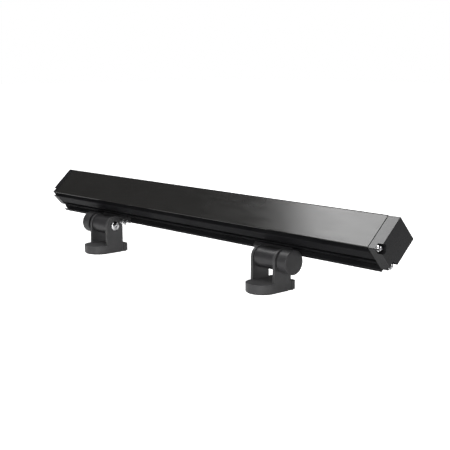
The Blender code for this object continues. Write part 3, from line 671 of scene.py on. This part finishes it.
def pivot_bolt(side):
    axle = facing(X * outward(side), PIVOTS[side])
    recess = BOLT_SEAT - GAP
    back = axle @ Matrix.Translation((0, 0, recess)) @ Matrix.Rotation(math.pi, 4, "X")
    shank = 50 * MM - recess
    profile = dome(BOLT_HEAD_RADIUS, 2 * MM, 5 * MM)
    profile += [(BOLT_HEAD_RADIUS - 0.3 * MM, 0), (BOLT_RADIUS, 0), (BOLT_RADIUS, -shank),
                (0, -shank)]
    bolt = turned(f"pivot_screw_{side}", profile, back)
    cut(bolt, "DIFFERENCE", [hex_tool("bolt_socket", 6 * MM, 3.5 * MM, 9 * MM, back)])
    stand_in(bolt, f"pivot_bolt_{side}")


def base_outline(inset=0.0):
    half, corner = BASE_HALF_WIDTH - inset, 6.5 * MM
    right = arc((BASE_HALF_WIDTH - corner, BASE_REAR - corner), corner - inset, -20, 100, 12)
    left = [(-x, y) for x, y in reversed(right)]
    end, notch = 24 * MM - inset, 2.6 * MM
    return [*arc((0, -BASE_FRONT), half, 180, 360, 56), (half, end - notch), (half - notch, end),
            *right, *left, (-half + notch, end), (-half, end - notch)]


def foot(side):
    origin = PIVOTS[side]
    plan = Matrix.Translation(origin)
    upright = Matrix.Translation(origin) @ Matrix((Y, Z, X)).transposed().to_4x4()
    body = prism(f"foot_casting_{side}", [base_outline()], PAD_THICKNESS + GAP - PIVOT_HEIGHT,
                 BASE_TOP - PIVOT_HEIGHT, plan)
    bake(bevel(body, 1.6 * MM, 4))
    bottom = BASE_TOP - PIVOT_HEIGHT - 2 * MM
    outline = [*arc((0, 0), CHEEK_RADIUS, 0, 180, 48), (-CHEEK_RADIUS, bottom),
               (CHEEK_RADIUS, bottom)]
    cheeks = []
    for way in (1, -1):
        stretch = sorted((way * CHEEK_INSIDE, way * (BASE_HALF_WIDTH - 0.05 * MM)))
        cheek = prism(f"cheek_{way}", [outline], *stretch, upright)
        cheeks.append(bake(bevel(cheek, 0.8 * MM)))
    cut(body, "UNION", cheeks)
    axle = facing(X * outward(side), origin)
    cut(body, "DIFFERENCE", [
        cylinder("bore", BOLT_RADIUS + BOLT_CLEARANCE, 40 * MM, -40 * MM, axle, 48),
        cylinder("recess", BOLT_RECESS_RADIUS, BOLT_SEAT, -40 * MM, axle)])
    stand_in(body, f"foot_{side}")


def clamp_arm(side):
    """Clamp plate with a boss for its screws, and the barrel that the fork holds."""
    local, axle = section_frame(PIVOTS[side].x), facing(X, PIVOTS[side])
    clear = RAIL_CLEARANCE
    plate_outline = rounded([
        (71.4 * MM + clear, PLATE_TOP), (70.8 * MM + clear, CHANNEL_BOTTOM[0]),
        (70.8 * MM + clear, PLATE_BOTTOM), (PLATE_FACE, PLATE_BOTTOM), (PLATE_FACE, PLATE_TOP)],
        0.4 * MM)
    plate = prism(f"clamp_casting_{side}", [plate_outline], *span(side, *PLATE_REACH), local)
    bake(bevel(plate, 0.35 * MM, 2))
    boss_outline = rounded(rectangle((RAIL_REACH + clear, BOSS_FACE), BOSS_DEPTH), 0.8 * MM)
    boss = prism("boss", [boss_outline], *span(side, *BOSS_REACH), local)
    web = prism("web", [WEB], -BARREL_HALF + 0.6 * MM, BARREL_HALF - 0.6 * MM, local)
    edge = 0.6 * MM
    barrel = turned("barrel", [(0, BARREL_HALF), (BARREL_RADIUS - edge, BARREL_HALF),
                               (BARREL_RADIUS, BARREL_HALF - edge),
                               (BARREL_RADIUS, edge - BARREL_HALF),
                               (BARREL_RADIUS - edge, -BARREL_HALF), (0, -BARREL_HALF)], axle, 96)
    cut(plate, "UNION", [boss, web, barrel])
    tools = [cylinder("bore", BOLT_RADIUS + BOLT_CLEARANCE, 40 * MM, -40 * MM, axle, 48)]
    for place in CLAMP_SCREWS:
        tools.append(cylinder("hole", 2.3 * MM, 20 * MM, -20 * MM,
                              facing(U, screw_seat(side, place)), 32))
    cut(plate, "DIFFERENCE", tools)
    stand_in(plate, f"clamp_arm_{side}")


def screw_seat(side, place):
    return on_section(PIVOTS[side].x + place * outward(side), BOSS_FACE, END_SCREW_V["lower"])


def rubber_pad(side):
    pad = prism(f"sole_{side}", [base_outline(3 * MM)], -PIVOT_HEIGHT,
                PAD_THICKNESS - PIVOT_HEIGHT, Matrix.Translation(PIVOTS[side]))
    bake(bevel(pad, 0.3 * MM, 2, 60))
    stand_in(pad, f"rubber_pad_{side}")


def clamp_screw(side, index):
    seat = facing(U, screw_seat(side, CLAMP_SCREWS[index - 1])) @ Matrix.Translation((0, 0, GAP))
    head, radius, shank = CLAMP_HEAD, CLAMP_HEAD_RADIUS, CLAMP_SHANK_RADIUS
    profile = [(0, head), (radius - 0.6 * MM, head), (radius - 0.2 * MM, head - 0.2 * MM),
               (radius, head - 0.6 * MM), (radius, 0.3 * MM), (radius - 0.3 * MM, 0), (shank, 0),
               (shank, -15 * MM), (0, -15 * MM)]
    screw = turned(f"rail_screw_{side}_{index}", profile, seat, 40)
    cut(screw, "DIFFERENCE",
        [hex_tool("clamp_socket", 4 * MM, head - 3.5 * MM, head + MM, seat)])
    stand_in(screw, f"clamp_screw_{side}_{index}")


def end_screw(side, level):
    """The head stands on the floor of the recess in the end cap."""
    way = outward(side)
    low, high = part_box(f"end_screw_{side}_{level}")
    head, radius = END_HEAD, END_HEAD_RADIUS
    tip = high.x if way > 0 else low.x
    axis = facing(X * way, on_section(tip - way * head, SCREW_U, END_SCREW_V[level]))
    shank = (high.x - low.x) - head
    profile = dome(radius, 2 * MM, 4 * MM)
    profile += [(radius, 0.3 * MM), (radius - 0.3 * MM, 0), (END_SHANK_RADIUS, 0),
                (END_SHANK_RADIUS, -shank), (0, -shank)]
    screw = turned(f"cap_screw_{side}_{level}", profile, axis, 64)
    cut(screw, "DIFFERENCE", [hex_tool("cap_socket", 4 * MM, head - 2.5 * MM, head + MM, axis)])
    stand_in(screw, f"end_screw_{side}_{level}")


housing()
window()
for socket_node in PINS:
    socket(socket_node)
vent()
for foot_side in SIDES:
    end_cap(foot_side)
    foot(foot_side)
    rubber_pad(foot_side)
    clamp_arm(foot_side)
    knob(foot_side)
    pivot_bolt(foot_side)
    for screw_index in (1, 2):
        clamp_screw(foot_side, screw_index)
    for screw_level in END_SCREW_V:
        end_screw(foot_side, screw_level)


# Camera, floor and light

CAMERA_AZIMUTH, CAMERA_ELEVATION = math.radians(47.2), math.radians(9.56)
CAMERA_PLACE = Vector((1.5097, -1.3157, 0.4328))
FRAME_PIXELS, FOCAL_PIXELS, SENSOR = 450, 980.2, 36.0

FLOOR_HALF = 14
AMBIENT = 0.08
# Strength towards the object and towards the camera
FLOOR_GLOW = (0.14, 1.05)

# Name: place, the point that it faces, width and height, watts
SOFTBOXES = {
    "softbox_overhead": ((-1.02, -0.18, 2.0), (0.17, 0, 0.145), (1.3, 0.56), 27),
    "softbox_front": ((1.6, -2.4, 0.9), (0, 0, 0.05), (1.2, 0.8), 50),
    "softbox_right": ((2.4, 1.5, 0.9), (0.2, 0, 0.08), (1.4, 1.0), 8),
    "softbox_above": ((0.3, -0.9, 2.5), (0, 0, 0), (1.5, 1.0), 12),
}


def camera():
    data = bpy.data.cameras.new("camera")
    data.sensor_width = SENSOR
    data.lens = FOCAL_PIXELS / FRAME_PIXELS * SENSOR
    data.clip_start, data.clip_end = 0.05, 60
    obj = bpy.data.objects.new("camera", data)
    bpy.context.scene.collection.objects.link(obj)
    ahead = Vector((-math.sin(CAMERA_AZIMUTH) * math.cos(CAMERA_ELEVATION),
                    math.cos(CAMERA_AZIMUTH) * math.cos(CAMERA_ELEVATION),
                    -math.sin(CAMERA_ELEVATION)))
    obj.location = CAMERA_PLACE
    obj.rotation_mode = "QUATERNION"
    obj.rotation_quaternion = ahead.to_track_quat("-Z", "Y")
    bpy.context.scene.camera = obj


def floor():
    shape = bmesh.new()
    bmesh.ops.create_grid(shape, x_segments=1, y_segments=1, size=FLOOR_HALF)
    mesh = bpy.data.meshes.new("floor")
    shape.to_mesh(mesh)
    shape.free()
    obj = bpy.data.objects.new("floor", mesh)
    bpy.context.scene.collection.objects.link(obj)
    material = bpy.data.materials.new("pale_floor")
    material.use_nodes = True
    shader = material.node_tree.nodes["Principled BSDF"]
    shader.inputs["Base Color"].default_value = (0.9, 0.9, 0.9, 1)
    shader.inputs["Roughness"].default_value = 0.95
    shader.inputs["Specular IOR Level"].default_value = 0.1
    shader.inputs["Emission Color"].default_value = (1, 1, 1, 1)
    seen = material.node_tree.nodes.new("ShaderNodeLightPath")
    glow = material.node_tree.nodes.new("ShaderNodeMapRange")
    glow.inputs["To Min"].default_value, glow.inputs["To Max"].default_value = FLOOR_GLOW
    material.node_tree.links.new(seen.outputs["Is Camera Ray"], glow.inputs["Value"])
    material.node_tree.links.new(glow.outputs["Result"], shader.inputs["Emission Strength"])
    mesh.materials.append(material)


def area_light(name, place, target, size, power):
    data = bpy.data.lights.new(name, "AREA")
    data.shape = "RECTANGLE"
    data.size, data.size_y = size
    data.energy = power
    obj = bpy.data.objects.new(name, data)
    bpy.context.scene.collection.objects.link(obj)
    obj.location = place
    obj.rotation_mode = "QUATERNION"
    obj.rotation_quaternion = (Vector(target) - Vector(place)).to_track_quat("-Z", "Y")


def light():
    world = bpy.data.worlds.new("studio")
    bpy.context.scene.world = world
    world.use_nodes = True
    tree = world.node_tree
    ambient = tree.nodes["Background"]
    ambient.inputs["Strength"].default_value = AMBIENT
    backdrop = tree.nodes.new("ShaderNodeBackground")
    backdrop.inputs["Strength"].default_value = 1.0
    for node in (ambient, backdrop):
        node.inputs["Color"].default_value = (1, 1, 1, 1)
    seen = tree.nodes.new("ShaderNodeLightPath")
    blend = tree.nodes.new("ShaderNodeMixShader")
    tree.links.new(seen.outputs["Is Camera Ray"], blend.inputs[0])
    tree.links.new(ambient.outputs[0], blend.inputs[1])
    tree.links.new(backdrop.outputs[0], blend.inputs[2])
    tree.links.new(blend.outputs[0], tree.nodes["World Output"].inputs["Surface"])
    for name, box in SOFTBOXES.items():
        area_light(name, *box)
    bpy.context.scene.view_settings.view_transform = "Standard"


camera()
floor()
light()
